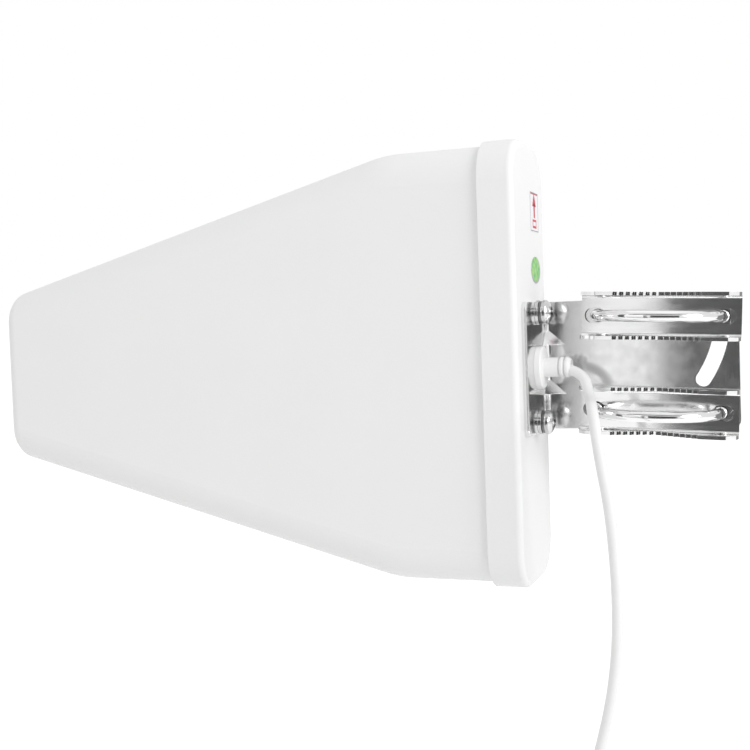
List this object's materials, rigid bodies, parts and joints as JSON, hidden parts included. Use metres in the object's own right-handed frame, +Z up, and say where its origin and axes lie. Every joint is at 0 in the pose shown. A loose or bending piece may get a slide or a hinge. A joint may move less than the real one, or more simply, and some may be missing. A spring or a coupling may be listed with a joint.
{
  "type": "log periodic antenna",
  "caption": "Log periodic antenna in a tapered white housing, on a tilting steel bracket with toothed saddles and U-bolts, with a short coaxial lead.",
  "frame": {"origin": "axis of the round mast that the clamp grips, midway between the two U-bolts", "axes": "+Z up along the mast, the antenna points along -X, and the bows of the U-bolts face -Y"},
  "size_m": [0.3855, 0.1128, 0.3471],
  "materials": {
    "housing_plastic": "smooth white moulded plastic",
    "gland_plastic": "white moulded plastic",
    "seal_rubber": "pale soft rubber",
    "boom_aluminium": "mill finish",
    "short_plate_aluminium": "sheared plate",
    "spacer_plastic": "moulded",
    "brass": "turned",
    "foam": "closed-cell foam",
    "bracket_steel": "polished stainless steel sheet",
    "saddle_steel": "bright stainless steel sheet",
    "bolt_steel": "polished stainless steel rod",
    "nut_steel": "bright stainless steel",
    "washer_steel": "bright stainless steel",
    "screw_steel": "bright stainless steel",
    "lead_jacket": "smooth white jacket",
    "coax_jacket": "smooth white jacket",
    "label_white": "printed label with a border and a red arrow",
    "sticker_green": "green foil with a silver rim",
    "nickel": "nickel plated brass",
    "insulator_white": "turned white plastic",
    "contact_gold": "gold plated"
  },
  "bodies": {
    "clamp": {"upper_saddle": "saddle_steel", "lower_saddle": "saddle_steel", "u_bolt_spring_washers": "washer_steel", "u_bolt_washers": "washer_steel"},
    "antenna": {"radome_shell": "housing_plastic", "rear_cap": "housing_plastic", "cap_seal": "seal_rubber", "near_boom": "boom_aluminium", "far_boom": "boom_aluminium", "rear_short_plate": "short_plate_aluminium", "boom_plate_screws": "screw_steel", "boom_spacers": "spacer_plastic", "feed_coax": "coax_jacket", "feed_link": "brass", "nose_pad": "foam", "threaded_inserts": "brass", "cable_gland": "gland_plastic", "direction_label": "label_white", "round_sticker": "sticker_green", "mounting_bracket": "bracket_steel", "flange_screws": "screw_steel", "flange_spring_washers": "washer_steel", "flange_washers": "washer_steel", "cable": "lead_jacket", "crimp_ferrule": "nickel", "connector_body": "nickel", "connector_insulator": "insulator_white", "connector_contact": "contact_gold", "dipole_01": "boom_aluminium", "dipole_02": "boom_aluminium", "dipole_03": "boom_aluminium", "dipole_04": "boom_aluminium", "dipole_05": "boom_aluminium", "dipole_06": "boom_aluminium", "dipole_07": "boom_aluminium", "dipole_08": "boom_aluminium", "dipole_09": "boom_aluminium", "dipole_10": "boom_aluminium"},
    "upper_u_bolt": {"upper_u_bolt": "bolt_steel"},
    "lower_u_bolt": {"lower_u_bolt": "bolt_steel"},
    "upper_left_nut": {"upper_left_nut": "nut_steel"},
    "upper_right_nut": {"upper_right_nut": "nut_steel"},
    "lower_left_nut": {"lower_left_nut": "nut_steel"},
    "lower_right_nut": {"lower_right_nut": "nut_steel"}
  },
  "joints": [
    {"name": "antenna_tilt", "type": "hinge", "parent": "clamp", "child": "antenna", "pos_m": [-0.0295, 0.0194, 0.023], "axis": [0, -1, 0], "range_deg": [-2.5, 2.5]},
    {"name": "upper_u_bolt_draw", "type": "slide", "parent": "clamp", "child": "upper_u_bolt", "axis": [0, 1, 0], "range_m": [-0.0245, 0.005]},
    {"name": "upper_left_nut_spin", "type": "hinge", "parent": "clamp", "child": "upper_left_nut", "pos_m": [-0.0295, 0.0263, 0.023], "axis": [0, -1, 0], "range_deg": [-8820, 1800]},
    {"name": "upper_right_nut_spin", "type": "hinge", "parent": "clamp", "child": "upper_right_nut", "pos_m": [0.0295, 0.0263, 0.023], "axis": [0, -1, 0], "range_deg": [-8820, 1800]},
    {"name": "lower_u_bolt_draw", "type": "slide", "parent": "clamp", "child": "lower_u_bolt", "axis": [0, 1, 0], "range_m": [-0.0245, 0.005]},
    {"name": "lower_left_nut_spin", "type": "hinge", "parent": "clamp", "child": "lower_left_nut", "pos_m": [-0.0295, 0.0263, -0.023], "axis": [0, -1, 0], "range_deg": [-8820, 1800]},
    {"name": "lower_right_nut_spin", "type": "hinge", "parent": "clamp", "child": "lower_right_nut", "pos_m": [0.0295, 0.0263, -0.023], "axis": [0, -1, 0], "range_deg": [-8820, 1800]}
  ],
  "couplings": [
    {"joint": "upper_left_nut_spin", "follows": "upper_u_bolt_draw", "rad_per_m": 6283.2},
    {"joint": "upper_right_nut_spin", "follows": "upper_u_bolt_draw", "rad_per_m": 6283.2},
    {"joint": "lower_left_nut_spin", "follows": "lower_u_bolt_draw", "rad_per_m": 6283.2},
    {"joint": "lower_right_nut_spin", "follows": "lower_u_bolt_draw", "rad_per_m": 6283.2}
  ]
}
